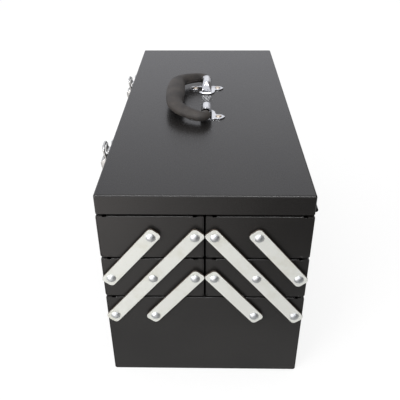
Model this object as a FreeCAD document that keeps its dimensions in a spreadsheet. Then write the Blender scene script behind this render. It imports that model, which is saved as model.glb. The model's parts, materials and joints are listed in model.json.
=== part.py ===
import FreeCAD, Part
import math
import os

import Sketcher
from FreeCAD import Placement, Rotation, Vector

# Cantilever tool box: a deep base, two middle trays and two top trays on flat steel arms,
# under one lid that is hinged on the right top tray and latched on the left one.
# X runs across the box, Y along its length from the near end to the far end, and Z up.
# The origin is the centre of the base's underside.

# Driving dimensions: name, millimetres (degrees for the angles), what it is
SIZES = [
    ("box_width", 200, "closed box, side to side"),
    ("box_length", 440, "closed box, end to end"),
    ("base_height", 106, "deep base tray"),
    ("tray_height", 47, "middle and top trays"),
    ("lid_height", 20, "lid skirt with its top sheet"),
    ("stack_gap", 2.3, "daylight between a rim and the tray or lid above it"),
    ("centre_gap", 2, "daylight between the left and right trays"),
    ("sheet_steel", 1, "steel sheet of trays, lid and hinge"),
    ("bend_radius", 2.5, "outer radius of the bends along a tray's floor"),
    ("rim_width", 6, "wall top folded inwards"),
    ("rim_lip", 4, "folded edge turned down again"),
    ("rim_round", 0.8, "outer edge of an end wall's rim"),
    ("rim_inset", 10, "end wall's rim stops short of the corner"),
    ("end_flange", 10, "spot-welded flange of an end wall"),
    ("seam_gap", 0.1, "daylight in a welded seam"),
    ("lid_bend", 2, "outer radius of the lid's bends"),
    ("lid_hem", 6, "lid's lower edge folded inside"),
    ("pivot_inset", 8.7, "outer column of pivots, from the box's side"),
    ("pivot_centre_inset", 8.3, "inner column of pivots, from the inner side of its tray"),
    ("pivot_drop", 21.1, "pivots below the rim of their tray"),
    ("arm_width", 14, "flat steel arm"),
    ("arm_steel", 2, "arm thickness"),
    ("arm_overhang", 8, "arm beyond its end pivots"),
    ("arm_corner", 4, "rounded corner of an arm"),
    ("arm_standoff", 2, "washer's thickness between an arm and the wall"),
    ("arm_play", 0.1, "play on each side of an arm"),
    ("running_fit", 0.05, "radial clearance where a piece turns on a pin"),
    ("rivet_radius", 2.5, "shank of a pivot rivet"),
    ("rivet_head", 4.5, "radius of a pivot rivet's head"),
    ("rivet_dome", 2.4, "height of that head"),
    ("hinge_inset", 10, "lid hinge stops short of the box's ends"),
    ("hinge_knuckles", 6, "knuckles along the lid hinge"),
    ("knuckle_radius", 2.2, "outside of a knuckle"),
    ("hinge_pin_radius", 1.2, "lid hinge pin"),
    ("knuckle_gap", 0.3, "daylight between neighbouring knuckles"),
    ("leaf_width", 17, "hinge leaf from the pin's axis to its edge"),
    ("lid_leaf_width", 15, "the same on the lid, whose skirt is lower"),
    ("latch_spread", 105, "latch from the middle of the box"),
    ("latch_sheet", 1.2, "latch steel"),
    ("latch_pivot_out", 7, "lever pin from the tray wall"),
    ("latch_pivot_drop", 2.6, "lever pin below the tray's rim"),
    ("latch_pin_radius", 1.5, "lever pin"),
    ("plate_width", 18, "latch base plate, along the box"),
    ("plate_rise", 2, "base plate above the lever pin"),
    ("plate_fall", 36, "base plate below the lever pin"),
    ("ear_reach", 2.8, "base plate's ear beyond the lever pin"),
    ("ear_half_width", 5.4, "outside of the base plate's ears"),
    ("lever_half_width", 7, "outside of the lever's ears"),
    ("lever_head", 4.8, "rounded head of the lever about its pin"),
    ("lever_bulge", 7.9, "lever skin out from its pin"),
    ("lever_length", 33, "lever below its pin"),
    ("loop_radius", 1.3, "wire of the latch loop"),
    ("loop_half_width", 8.7, "wire centre of the loop's legs"),
    ("loop_pivot_in", 1.5, "loop pivot inwards of the lever pin"),
    ("loop_pivot_drop", 9, "loop pivot below the lever pin"),
    ("loop_reach_out", 4.1, "loop's crossbar outwards of its pivot"),
    ("loop_reach_up", 27.6, "loop's crossbar above its pivot"),
    ("catch_width", 12, "catch plate on the lid"),
    ("catch_reach", 7.9, "outside of the catch's hook"),
    ("catch_foot", 2.4, "catch plate's foot above the lid's edge"),
    ("catch_top", 17.5, "catch plate's top above the lid's edge"),
    ("catch_shelf", 6.6, "hook's shelf above the lid's edge"),
    ("catch_lip", 6.5, "hook's lip above its shelf"),
    ("handle_axis", 8.9, "handle's turning axis above the lid"),
    ("handle_wire", 3, "radius of the handle's steel core"),
    ("handle_tilt", 6, "handle's rise from level as it rests, in degrees"),
    ("handle_half_span", 68.3, "core's corner from the middle of the lid"),
    ("handle_waist", 48, "where the core's corners would meet at the grip"),
    ("handle_reach", 38, "middle of the grip from the axis"),
    ("handle_corner", 24, "large bend of the core"),
    ("handle_end_corner", 6.5, "bend of the core at a bracket"),
    ("stub_length", 14, "core's end held in a bracket"),
    ("saddle_length", 11, "saddle that carries the core's end under a hood"),
    ("saddle_half_width", 3.9, "half the width of a saddle"),
    ("grip_gap", 0.8, "daylight between the grip's end and a bracket"),
    ("grip_end_radius", 6.2, "rubber at the ends"),
    ("grip_swell", 22, "thick part of the grip ends at this distance from its middle"),
    ("grip_half_width", 11.6, "rubber at the middle, flat way"),
    ("grip_half_height", 8.6, "rubber at the middle, upright"),
    ("bracket_start", 54.5, "bracket's outer edge from the middle of the lid"),
    ("bracket_length", 29, "bracket along the box"),
    ("bracket_half_width", 10.5, "bracket's foot beside the hood"),
    ("bracket_corner", 8, "rounded inner corners of the foot"),
    ("bracket_steel", 1.3, "bracket thickness"),
    ("tab_half_span", 21.5, "tip of a tab from the bracket's middle"),
    ("tab_length", 15.5, "tab along the box"),
    ("tab_corner", 5, "rounded tip of a tab"),
    ("hood_half_width", 6.2, "outside of the hood"),
    ("hood_top", 15, "hood's crown above the lid"),
    ("hood_level", 17, "level length of the hood"),
    ("hood_slope", 9, "length in which the hood comes down"),
]

# Sizes that follow from the ones above
FOLLOWING = [
    (
        "pivot_step",
        "=((box_width - centre_gap) / 2 - pivot_inset - pivot_centre_inset) / 2",
        "from one column of pivots to the next",
    ),
    ("hinge_pitch", "=(box_length - 2 * hinge_inset) / hinge_knuckles", "one knuckle of the lid hinge"),
]

LEVER_OUTER_SHARES = [
    (0.58, 0.08),
    (0.86, -0.06),
    (1.00, -0.24),
    (1.00, -0.42),
    (0.87, -0.66),
    (0.80, -0.84),
    (0.94, -1.00),
]
LEVER_EAR_SHARES = [(0.25, -0.46), (-0.38, -0.38), (-0.60, -0.27)]
CROWN_STEPS = 5
CROWN_TURN = 30
MITRES = 2
MITRED = 1

ALONG = Vector(0, 1, 0)
UP = Vector(0, 0, 1)
HALF_TURN = 180

document = FreeCAD.newDocument("cantilever_tool_box")
sheet = document.addObject("Spreadsheet::Sheet", "sizes")
for row, (name, value, meaning) in enumerate(SIZES + FOLLOWING, start=1):
    sheet.set(f"A{row}", meaning)
    sheet.set(f"B{row}", str(value))
    sheet.setAlias(f"B{row}", name)
document.recompute()
pieces = []


def size(name):
    """The value of one named cell."""
    return float(sheet.get(name))


STEEL = size("sheet_steel")
HALF_LENGTH = size("box_length") / 2
HALF_WIDTH = size("box_width") / 2
PITCH = size("tray_height") + size("stack_gap")
MIDDLE_LEVEL = size("base_height") + size("stack_gap")
TOP_LEVEL = MIDDLE_LEVEL + PITCH
LID_LEVEL = TOP_LEVEL + PITCH
LID_TOP = LID_LEVEL + size("lid_height")
BASE_ROW = size("base_height") - size("pivot_drop")
ROWS = (BASE_ROW, BASE_ROW + PITCH, BASE_ROW + 2 * PITCH)
OUTER = HALF_WIDTH - size("pivot_inset")
COLUMNS = (OUTER, OUTER - size("pivot_step"), OUTER - 2 * size("pivot_step"))
REST_ANGLE = math.degrees(math.atan2(PITCH, size("pivot_step")))
SIDES = (("left", -1), ("right", 1))
ENDS = (("front", -1), ("rear", 1))


def keep(piece, name):
    """Names a finished sub-part and puts it on the list that is written out."""
    piece.Label = name
    pieces.append(piece)
    return piece


def new_body(name, place):
    """An empty PartDesign body at its place."""
    body = document.addObject("PartDesign::Body", name)
    body.Placement = place
    return keep(body, name)


def origin_plane(body, role):
    """One of the body's own origin planes."""
    return next(item for item in body.Origin.OriginFeatures if item.Role == role)


def new_sketch(body, role):
    """An empty sketch on one of the body's origin planes."""
    sketch = body.newObject("Sketcher::SketchObject", f"{body.Name}_sketch")
    sketch.AttachmentSupport = [(origin_plane(body, role), "")]
    sketch.MapMode = "FlatFace"
    return sketch


def bind(sketch, kind, geometry, point, start, expression):
    """A distance from the origin to a point, tied to the sheet."""
    number = sketch.addConstraint(Sketcher.Constraint(kind, -1, 1, geometry, point, start))
    sketch.setExpression(f"Constraints[{number}]", expression)


def add_loop(sketch, corners):
    """A closed outline of straight lines whose corners are pairs of expressions."""
    first = sketch.GeometryCount
    count = len(corners)
    guesses = []
    for index in range(count):
        turn = 2 * math.pi * index / count
        guesses.append(Vector(math.cos(turn), math.sin(turn), 0))
    for index in range(count):
        line = Part.LineSegment(guesses[index], guesses[(index + 1) % count])
        sketch.addGeometry(line)
    for index in range(count):
        following = first + (index + 1) % count
        sketch.addConstraint(Sketcher.Constraint("Coincident", first + index, 2, following, 1))
    for index, (across, rise) in enumerate(corners):
        bind(sketch, "DistanceX", first + index, 1, guesses[index].x, across)
        bind(sketch, "DistanceY", first + index, 1, guesses[index].y, rise)


def rectangle(low, high, bottom, top):
    """The four corners of a rectangle as pairs of expressions."""
    return [(low, bottom), (high, bottom), (high, top), (low, top)]


def add_circles(sketch, centres, radius):
    """Circles of one radius; each centre is a pair of expressions."""
    for across, rise in centres:
        index = sketch.addGeometry(Part.Circle(Vector(1, 1, 0), UP, 1))
        bind(sketch, "DistanceX", index, 3, 1, across)
        bind(sketch, "DistanceY", index, 3, 1, rise)
        number = sketch.addConstraint(Sketcher.Constraint("Radius", index, 1))
        sketch.setExpression(f"Constraints[{number}]", radius)


def pad(body, sketch, length, midplane=False, reverse=False):
    """A pad of the sketch."""
    feature = body.newObject("PartDesign::Pad", f"{body.Name}_pad")
    feature.Profile = sketch
    feature.setExpression("Length", length)
    feature.Midplane = midplane
    feature.Reversed = reverse
    document.recompute()
    return feature


def pocket(body, sketch, length, midplane=False, reverse=False):
    """A pocket of the sketch, which has to take material away."""
    before = body.Shape.Volume
    feature = body.newObject("PartDesign::Pocket", f"{body.Name}_pocket")
    feature.Profile = sketch
    feature.setExpression("Length", length)
    feature.Midplane = midplane
    feature.Reversed = reverse
    document.recompute()
    if not body.Shape.Volume < before:
        raise RuntimeError(f"a pocket of {body.Name} cuts nothing")
    return feature


def fillet(body, base, edges, radius):
    """Rounds the named edges of a feature."""
    feature = body.newObject("PartDesign::Fillet", f"{body.Name}_bend")
    feature.Base = (base, edges)
    feature.setExpression("Radius", radius)
    document.recompute()
    return feature


def straight_edges(shape, direction, wanted):
    """Names of the straight edges along a direction whose middle passes the test."""
    names = []
    for number, edge in enumerate(shape.Edges, start=1):
        if not isinstance(edge.Curve, Part.Line):
            continue
        way = edge.Vertexes[-1].Point - edge.Vertexes[0].Point
        parallel = way.normalize().cross(direction).Length
        if parallel < STEEL / size("box_length") and wanted(edge.CenterOfMass):
            names.append(f"Edge{number}")
    return names


def tray_shell(name, centre, level, width, height):
    """Floor and two long walls, bent from one sheet, with rims folded in and down.

    The rims' lips stop short of the end walls.
    """
    body = new_body(f"{name}_shell", Placement(Vector(centre, 0, level), Rotation()))
    half = f"({width}) / 2"
    steel = "sizes.sheet_steel"
    rim = f"{half} - sizes.rim_width"
    under = f"{height} - {steel}"
    right = [
        (half, "0"),
        (half, height),
        (rim, height),
        (rim, under),
        (f"{half} - {steel}", under),
        (f"{half} - {steel}", steel),
    ]
    left = [(f"-({across})", rise) for across, rise in reversed(right)]
    sketch = new_sketch(body, "XZ_Plane")
    add_loop(sketch, right + left)
    sheet_pad = pad(body, sketch, "sizes.box_length", midplane=True)
    reach = sheet_pad.Shape.BoundBox.XMax - STEEL / 2
    floor = straight_edges(
        sheet_pad.Shape, ALONG, lambda middle: abs(middle.x) > reach and middle.z < STEEL / 2
    )
    bend = fillet(body, sheet_pad, floor, "sizes.bend_radius")
    inner = straight_edges(
        bend.Shape,
        ALONG,
        lambda middle: abs(middle.z - STEEL) < STEEL / 2 and abs(abs(middle.x) - reach) < STEEL,
    )
    inner_bend = fillet(body, bend, inner, "sizes.bend_radius - sizes.sheet_steel")
    top = inner_bend.Shape.BoundBox.ZMax - STEEL / 2
    rims = straight_edges(
        inner_bend.Shape, ALONG, lambda middle: abs(middle.x) > reach and middle.z > top
    )
    fillet(body, inner_bend, rims, "sizes.rim_round")
    lips = new_sketch(body, "XZ_Plane")
    for side in ("", "-"):
        edges = rectangle(f"{side}({rim})", f"{side}({rim} + {steel})", f"{height} - sizes.rim_lip", under)
        add_loop(lips, edges)
    pad(body, lips, f"sizes.box_length - 2 * ({steel} + sizes.seam_gap)", midplane=True)


def tray_end(end, name, centre, level, width, height):
    """End wall set between the long walls, with welded flanges and its own rim."""
    word, sign = end
    turn = Rotation(UP, 0 if sign < 0 else HALF_TURN)
    place = Placement(Vector(centre, sign * HALF_LENGTH, level), turn)
    body = new_body(f"{name}_{word}_end", place)
    steel = "sizes.sheet_steel"
    inside = f"({width}) / 2 - {steel} - sizes.seam_gap"
    floor = f"{steel} + sizes.seam_gap"
    wall = new_sketch(body, "XZ_Plane")
    add_loop(wall, rectangle(f"-({inside})", inside, floor, f"{height} - {steel}"))
    wall_pad = pad(body, wall, steel, reverse=True)
    low = wall_pad.Shape.BoundBox.ZMin + STEEL / 2
    corners = straight_edges(wall_pad.Shape, ALONG, lambda middle: middle.z < low)
    fillet(body, wall_pad, corners, "sizes.bend_radius")

    flanges = new_sketch(body, "XZ_Plane")
    shoulder = f"{height} - sizes.rim_lip - sizes.bend_radius"
    knee = f"{floor} + sizes.bend_radius"
    for side in ("", "-"):
        edges = rectangle(f"{side}({inside} - {steel})", f"{side}({inside})", knee, shoulder)
        add_loop(flanges, edges)
    foot = f"{inside} - sizes.bend_radius"
    add_loop(flanges, rectangle(f"-({foot})", foot, floor, f"{floor} + {steel}"))
    pad(body, flanges, "sizes.end_flange", reverse=True)

    rim = new_sketch(body, "YZ_Plane")
    rim_corners = [
        ("0", height),
        ("sizes.rim_width", height),
        ("sizes.rim_width", f"{height} - sizes.rim_lip"),
        (f"sizes.rim_width - {steel}", f"{height} - sizes.rim_lip"),
        (f"sizes.rim_width - {steel}", f"{height} - {steel}"),
        ("0", f"{height} - {steel}"),
    ]
    add_loop(rim, rim_corners)
    rim_pad = pad(body, rim, f"{width} - 2 * sizes.rim_inset", midplane=True)
    top = rim_pad.Shape.BoundBox.ZMax - STEEL / 2
    outside = straight_edges(
        rim_pad.Shape, Vector(1, 0, 0), lambda middle: middle.z > top and middle.y < STEEL / 2
    )
    fillet(body, rim_pad, outside, "sizes.rim_round")


def build_trays():
    """The deep base and the four trays, each a shell and two end walls."""
    trays = [("base", 0, 0, "sizes.box_width", "sizes.base_height")]
    width = "(sizes.box_width - sizes.centre_gap) / 2"
    centre = (HALF_WIDTH + size("centre_gap") / 2) / 2
    for word, sign in SIDES:
        for tier, level in (("middle", MIDDLE_LEVEL), ("top", TOP_LEVEL)):
            trays.append((f"{word}_{tier}", sign * centre, level, width, "sizes.tray_height"))
    for tray in trays:
        tray_shell(*tray)
        for end in ENDS:
            tray_end(end, *tray)


def arm(name, side, end, first, tiers):
    """One flat arm, from its lowest pivot up over a number of tiers."""
    sign = side[1]
    word, way = end
    outward = way * (HALF_LENGTH + size("arm_standoff") + size("arm_play") + size("arm_steel") / 2)
    start_column, start_row = first
    foot = Vector(sign * COLUMNS[start_column], outward, ROWS[start_row])
    angle = REST_ANGLE if sign < 0 else HALF_TURN - REST_ANGLE
    body = new_body(f"{name}_{word}", Placement(foot, Rotation(-ALONG, angle)))
    reach = "sqrt((sizes.tray_height + sizes.stack_gap) ^ 2 + sizes.pivot_step ^ 2)"
    half = "sizes.arm_width / 2"
    blank = new_sketch(body, "XZ_Plane")
    tip = f"{tiers} * {reach} + sizes.arm_overhang"
    add_loop(blank, rectangle("-sizes.arm_overhang", tip, f"-{half}", half))
    holes = [(f"{number} * {reach}", "0") for number in range(tiers + 1)]
    add_circles(blank, holes, "sizes.rivet_radius + sizes.running_fit")
    flat = pad(body, blank, "sizes.arm_steel", midplane=True)
    corners = straight_edges(flat.Shape, ALONG, lambda middle: True)
    fillet(body, flat, corners, "sizes.arm_corner")


def build_arms():
    """Three arms a side at each end of the box."""
    for side in SIDES:
        for end in ENDS:
            arm(f"{side[0]}_long_arm", side, end, (0, 0), 2)
            arm(f"{side[0]}_lower_arm", side, end, (1, 0), 1)
            arm(f"{side[0]}_upper_arm", side, end, (0, 1), 1)


def feature(name, shape):
    """A sub-part whose shape is made directly."""
    piece = document.addObject("Part::Feature", name)
    piece.Shape = shape
    return keep(piece, name)


def pivot_rivet():
    """Rivet along Z from the wall's outer face: a shank and a round head."""
    grip = size("arm_standoff") + 2 * size("arm_play") + size("arm_steel")
    shank = Part.makeCylinder(size("rivet_radius"), grip)
    head = Part.makeCylinder(size("rivet_head"), size("rivet_dome"), UP * grip)
    return shank.fuse(head)


def placed(shape, spot, axis):
    """A copy with its Z axis turned to the given axis and its origin at the spot."""
    copy = shape.copy()
    copy.Placement = Placement(spot, Rotation(UP, axis))
    return copy


def build_pivots():
    """Pivot rivets, four, three or two at each end of a tray."""
    rivet = pivot_rivet()
    groups = {"base": [(sign * COLUMNS[number], ROWS[0]) for _, sign in SIDES for number in (0, 1)]}
    for word, sign in SIDES:
        groups[f"{word}_middle"] = [(sign * COLUMNS[number], ROWS[1]) for number in (0, 1, 2)]
        groups[f"{word}_top"] = [(sign * COLUMNS[number], ROWS[2]) for number in (1, 2)]
    for name, spots in groups.items():
        rivets = []
        for _, way in ENDS:
            for across, rise in spots:
                foot = Vector(across, way * HALF_LENGTH, rise)
                rivets.append(placed(rivet, foot, ALONG * way))
        feature(f"{name}_rivets", Part.makeCompound(rivets))


def build_lid():
    """Lid: one sheet bent down on four sides, its lower edge hemmed inside."""
    body = new_body("lid_shell", Placement(Vector(0, 0, LID_LEVEL), Rotation()))
    across = "sizes.box_width / 2"
    along = "sizes.box_length / 2"
    steel = "sizes.sheet_steel"
    blank = new_sketch(body, "XY_Plane")
    add_loop(blank, rectangle(f"-{across}", across, f"-{along}", along))
    block = pad(body, blank, "sizes.lid_height")
    half_height = block.Shape.BoundBox.ZMax / 2
    bends = straight_edges(block.Shape, UP, lambda middle: True)
    for direction in (ALONG, Vector(1, 0, 0)):
        bends += straight_edges(block.Shape, direction, lambda middle: middle.z > half_height)
    fillet(body, block, bends, "sizes.lid_bend")
    inside = new_sketch(body, "XY_Plane")
    inner_across = f"{across} - {steel}"
    inner_along = f"{along} - {steel}"
    cavity = rectangle(f"-({inner_across})", inner_across, f"-({inner_along})", inner_along)
    add_loop(inside, cavity)
    pocket(body, inside, f"sizes.lid_height - {steel}", reverse=True)
    hem = new_sketch(body, "XY_Plane")
    add_loop(hem, cavity)
    hem_across = f"{across} - 2 * {steel}"
    hem_along = f"{along} - 2 * {steel}"
    add_loop(hem, rectangle(f"-({hem_across})", hem_across, f"-({hem_along})", hem_along))
    pad(body, hem, "sizes.lid_hem")


def hinge_axis():
    """The lid hinge's axis, at the side of the right top tray."""
    level = LID_LEVEL - size("stack_gap") / 2
    return Vector(HALF_WIDTH + size("knuckle_radius"), 0, level)


def build_lid_hinge():
    """Piano hinge outside the right wall: two leaves with knuckles in turn, and a pin."""
    axis = hinge_axis()
    outer = size("knuckle_radius")
    pitch = size("hinge_pitch")
    count = int(size("hinge_knuckles"))
    start = -pitch * count / 2
    bore_radius = size("hinge_pin_radius") + size("running_fit")
    clear = size("knuckle_gap")
    wall = axis.x - outer
    pin_length = pitch * count
    pin_foot = Vector(axis.x, start, axis.z)
    feature("lid_hinge_pin", Part.makeCylinder(size("hinge_pin_radius"), pin_length, pin_foot, ALONG))
    bore = Part.makeCylinder(bore_radius, pin_length, pin_foot, ALONG)
    leaves = (
        ("tray_hinge_leaf", -1, size("leaf_width"), 0),
        ("lid_hinge_leaf", 1, size("lid_leaf_width"), 1),
    )
    for name, way, width, first in leaves:
        flat = width - outer - clear
        low = axis.z - width if way < 0 else axis.z + outer + clear
        leaf = Part.makeBox(STEEL, pin_length, flat, Vector(wall, start, low))
        for number in range(first, count, 2):
            near = start + number * pitch + clear / 2
            length = pitch - clear
            barrel = Part.makeCylinder(outer, length, Vector(axis.x, near, axis.z), ALONG)
            web_low = axis.z - width if way < 0 else axis.z
            web = Part.makeBox(STEEL, length, width, Vector(wall, near, web_low))
            leaf = leaf.fuse(barrel.fuse(web))
        feature(name, leaf.cut(bore).removeSplitter())


def side_prism(corners, middle, half_width):
    """Upright outline given outwards and up from a point, made solid along the box.

    Outwards is towards -X, where the latches are.
    """
    points = []
    for out, rise in corners + corners[:1]:
        points.append(Vector(middle.x - out, middle.y - half_width, middle.z + rise))
    face = Part.Face(Part.makePolygon(points))
    return face.extrude(ALONG * (2 * half_width))


def latch_pivot(middle):
    """The lever pin's middle for a latch at this place along the box."""
    rim = TOP_LEVEL + size("tray_height")
    out = HALF_WIDTH + size("latch_pivot_out")
    return Vector(-out, middle, rim - size("latch_pivot_drop"))


def across_bore(pivot, out, rise, radius, half_width):
    """A cylinder along the box through a point beside the lever pin."""
    foot = Vector(pivot.x - out, pivot.y - half_width, pivot.z + rise)
    return Part.makeCylinder(radius, 2 * half_width, foot, ALONG)


def latch_base(pivot):
    """Base plate on the tray wall with two ears for the lever pin."""
    out = size("latch_pivot_out")
    steel = size("latch_sheet")
    rise = size("plate_rise")
    fall = size("plate_fall")
    half = size("plate_width") / 2
    ear = size("ear_reach")
    plate_corners = [(-out, -fall), (steel - out, -fall), (steel - out, rise), (-out, rise)]
    plate = side_prism(plate_corners, pivot, half)
    ear_corners = [(-out, -2 * ear), (ear / 2, -ear), (ear, 0), (ear / 2, rise), (-out, rise)]
    ears = side_prism(ear_corners, pivot, size("ear_half_width"))
    between = side_prism(
        [(steel - out, -fall), (2 * ear, -fall), (2 * ear, 2 * rise), (steel - out, 2 * rise)],
        pivot,
        size("ear_half_width") - steel,
    )
    shape = plate.fuse(ears.cut(between))
    shape = shape.cut(across_bore(pivot, 0, 0, size("latch_pin_radius"), half))
    return shape.removeSplitter()


def latch_lever(pivot):
    """Pressed lever: a curved skin with two ears that turn on the pin."""
    steel = size("latch_sheet")
    head = size("lever_head")
    bulge = size("lever_bulge")
    length = size("lever_length")
    half = size("lever_half_width")
    crown = []
    for step in range(CROWN_STEPS):
        turn = math.radians(HALF_TURN - step * CROWN_TURN)
        crown.append((head * math.cos(turn), head * math.sin(turn)))
    skin = [(out * bulge, rise * length) for out, rise in LEVER_OUTER_SHARES]
    inner = [(out - steel, rise) for out, rise in skin]
    tail = inner[:-4:-1]
    ears = [(out * bulge, rise * length) for out, rise in LEVER_EAR_SHARES]
    whole = side_prism(crown + skin + tail + ears, pivot, half)
    top = inner[0][1]
    past = [(-bulge, -2 * length), (-bulge, 2 * head), (bulge, 2 * head), (bulge, top)]
    hollow = side_prism(inner + [(inner[-1][0], -2 * length)] + past, pivot, half - steel)
    shape = whole.cut(hollow)
    fit = size("running_fit")
    pin_hole = across_bore(pivot, 0, 0, size("latch_pin_radius") + fit, 2 * half)
    loop_hole = across_bore(
        pivot, -size("loop_pivot_in"), -size("loop_pivot_drop"), size("loop_radius") + fit, 2 * half
    )
    return shape.cut(pin_hole).cut(loop_hole).removeSplitter()


def mitred_points(points, radii):
    """The points with each bend of the given radius turned into a few mitres that touch it."""
    corners = [points[0]]
    for index, radius in enumerate(radii, start=1):
        corner = points[index]
        back = (points[index - 1] - corner).normalize()
        ahead = (points[index + 1] - corner).normalize()
        bisector = (back + ahead).normalize()
        half = back.getAngle(ahead) / 2
        centre = corner + bisector * (radius / math.sin(half))
        turn = (math.pi - 2 * half) / MITRES
        reach = radius / math.cos(turn / 2)
        axis = back.cross(ahead)
        for mitre in range(MITRES):
            angle = math.degrees((mitre - (MITRES - 1) / 2) * turn)
            corners.append(centre - Rotation(axis, -angle).multVec(bisector) * reach)
    return corners + [points[-1]]


def round_bar(corners, radius):
    """Solid of a round bar with mitred corners."""
    path = Part.makePolygon(corners)
    ring = Part.Wire(Part.makeCircle(radius, corners[0], corners[1] - corners[0]))
    bar = path.makePipeShell([ring], True, False, MITRED)
    expected = math.pi * radius**2 * path.Length
    if not bar.isValid() or abs(bar.Volume - expected) > expected / 100:
        raise RuntimeError("a bar's volume is not its section times its length")
    return bar


def latch_loop(pivot):
    """Wire loop that turns in the lever's ears and reaches up to the catch."""
    half = size("loop_half_width")
    foot = Vector(pivot.x + size("loop_pivot_in"), pivot.y, pivot.z - size("loop_pivot_drop"))
    top = foot + Vector(-size("loop_reach_out"), 0, size("loop_reach_up"))
    inner = size("lever_half_width") - size("latch_sheet")
    points = [
        foot + ALONG * inner,
        foot + ALONG * half,
        top + ALONG * half,
        top - ALONG * half,
        foot - ALONG * half,
        foot - ALONG * inner,
    ]
    return round_bar(points, size("loop_radius"))


def catch_plate(middle):
    """Catch on the lid: a plate whose hook stands out and turns up."""
    steel = size("latch_sheet")
    half = size("catch_width") / 2
    reach = size("catch_reach")
    shelf = size("catch_shelf")
    lip = shelf + size("catch_lip")
    foot = size("catch_foot")
    corners = [
        (0, foot),
        (steel, foot),
        (steel, shelf),
        (reach - steel, shelf),
        (reach, shelf + steel),
        (reach, lip),
        (reach - steel, lip),
        (reach - steel, shelf + 2 * steel),
        (reach - 2 * steel, shelf + steel),
        (steel, shelf + steel),
        (steel, size("catch_top")),
        (0, size("catch_top")),
    ]
    return side_prism(corners, Vector(-HALF_WIDTH, middle, LID_LEVEL), half)


def build_latches():
    """Two toggle latches on the left side."""
    for word, way in ENDS:
        middle = way * size("latch_spread")
        pivot = latch_pivot(middle)
        feature(f"{word}_latch_plate", latch_base(pivot))
        feature(f"{word}_latch_lever", latch_lever(pivot))
        feature(f"{word}_latch_loop", latch_loop(pivot))
        reach = size("lever_half_width")
        feature(f"{word}_latch_pin", across_bore(pivot, 0, 0, size("latch_pin_radius"), reach))
        feature(f"{word}_catch_plate", catch_plate(middle))


def vault(half_width, crown, level, slope, floor):
    """Hood: a rounded vault along the box that comes down at its inner end."""
    corner = crown - half_width
    arch = [
        Part.makeLine(Vector(-half_width, 0, floor), Vector(half_width, 0, floor)),
        Part.makeLine(Vector(half_width, 0, floor), Vector(half_width, 0, corner)),
        Part.Arc(
            Vector(half_width, 0, corner), Vector(0, 0, crown), Vector(-half_width, 0, corner)
        ).toShape(),
        Part.makeLine(Vector(-half_width, 0, corner), Vector(-half_width, 0, floor)),
    ]
    tunnel = Part.Face(Part.Wire(arch)).extrude(ALONG * (level + slope))
    drop = crown - floor
    bow = 1 / math.sqrt(2)
    shoulder = Vector(-half_width, level, crown)
    toe = Vector(-half_width, level + slope, floor)
    bend = Vector(-half_width, level + slope * bow, floor + drop * bow)
    side = [
        Part.makeLine(Vector(-half_width, 0, floor), Vector(-half_width, 0, crown)),
        Part.makeLine(Vector(-half_width, 0, crown), shoulder),
        Part.Arc(shoulder, bend, toe).toShape(),
        Part.makeLine(toe, Vector(-half_width, 0, floor)),
    ]
    curtain = Part.Face(Part.Wire(side)).extrude(Vector(2 * half_width, 0, 0))
    return tunnel.common(curtain)


def handle_bracket():
    """Pressed bracket: a foot with two tabs and a hood over the handle's end.

    It is made with its outer edge at zero and the rest along +Y.
    """
    steel = size("bracket_steel")
    half = size("bracket_half_width")
    length = size("bracket_length")
    tip = size("tab_half_span")
    tab = size("tab_length")
    foot = Part.makeBox(2 * half, length, steel, Vector(-half, 0, 0))
    inner = [
        edge for edge in foot.Edges if edge.CenterOfMass.y > length - STEEL and edge.BoundBox.ZLength > STEEL
    ]
    foot = foot.makeFillet(size("bracket_corner"), inner)
    tabs = Part.makeBox(2 * tip, tab, steel, Vector(-tip, 0, 0))
    ends = [
        edge for edge in tabs.Edges if abs(edge.CenterOfMass.x) > tip - STEEL and edge.BoundBox.ZLength > STEEL
    ]
    tabs = tabs.makeFillet(size("tab_corner"), ends)
    width = size("hood_half_width")
    crown = size("hood_top")
    level = size("hood_level")
    slope = size("hood_slope")
    outer = vault(width, crown, level, slope, 0)
    inside = vault(width - steel, crown - steel, level, slope - steel, 0)
    shape = foot.fuse(tabs).fuse(outer).cut(inside)
    return shape.removeSplitter()


def handle_path(stub):
    """Centre of the handle lying to the left of its axis, from a stub's end to the other."""
    level = LID_TOP + size("handle_axis")
    span = size("handle_half_span")
    reach = size("handle_reach")
    waist = size("handle_waist")
    points = [
        Vector(0, stub, level),
        Vector(0, span, level),
        Vector(-reach, waist, level),
        Vector(-reach, -waist, level),
        Vector(0, -span, level),
        Vector(0, -stub, level),
    ]
    small = size("handle_end_corner")
    large = size("handle_corner")
    return mitred_points(points, [small, large, large, small])


def handle_grip(core):
    """Rubber grip over the core: round at its ends, flat and wide along the middle."""
    thin = size("grip_end_radius")
    tall = size("grip_half_height")
    offset = size("grip_half_width") - tall
    corners = handle_path(size("bracket_start") + size("grip_gap"))
    knee = corners[len(corners) // 2 - 1]
    middle = Vector(knee.x, 0, knee.z)
    swell = size("grip_swell")
    runs = [Part.makeBox(2 * offset, 2 * swell, 2 * tall, middle - Vector(offset, swell, tall))]
    for side in (-1, 1):
        rib = middle + Vector(side * offset, 0, 0)
        runs.append(Part.makeCylinder(tall, 2 * swell, rib - ALONG * swell, ALONG))
        for way in (-1, 1):
            start = rib + ALONG * (way * swell)
            finish = middle + ALONG * (abs(knee.y) * way)
            run = finish - start
            runs.append(Part.makeCone(tall, thin, run.Length, start, run))
    return round_bar(corners, thin).fuse(runs).cut(core).removeSplitter()


def handle_saddle():
    """Block under a hood with a round groove for the core's end, made like the bracket."""
    half = size("saddle_half_width")
    start = size("bracket_steel")
    length = size("saddle_length")
    block = Part.makeBox(2 * half, length, size("handle_axis"), Vector(-half, start, 0))
    groove_foot = Vector(0, start, size("handle_axis"))
    groove = size("handle_wire") + size("running_fit")
    return block.cut(Part.makeCylinder(groove, length, groove_foot, ALONG))


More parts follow.
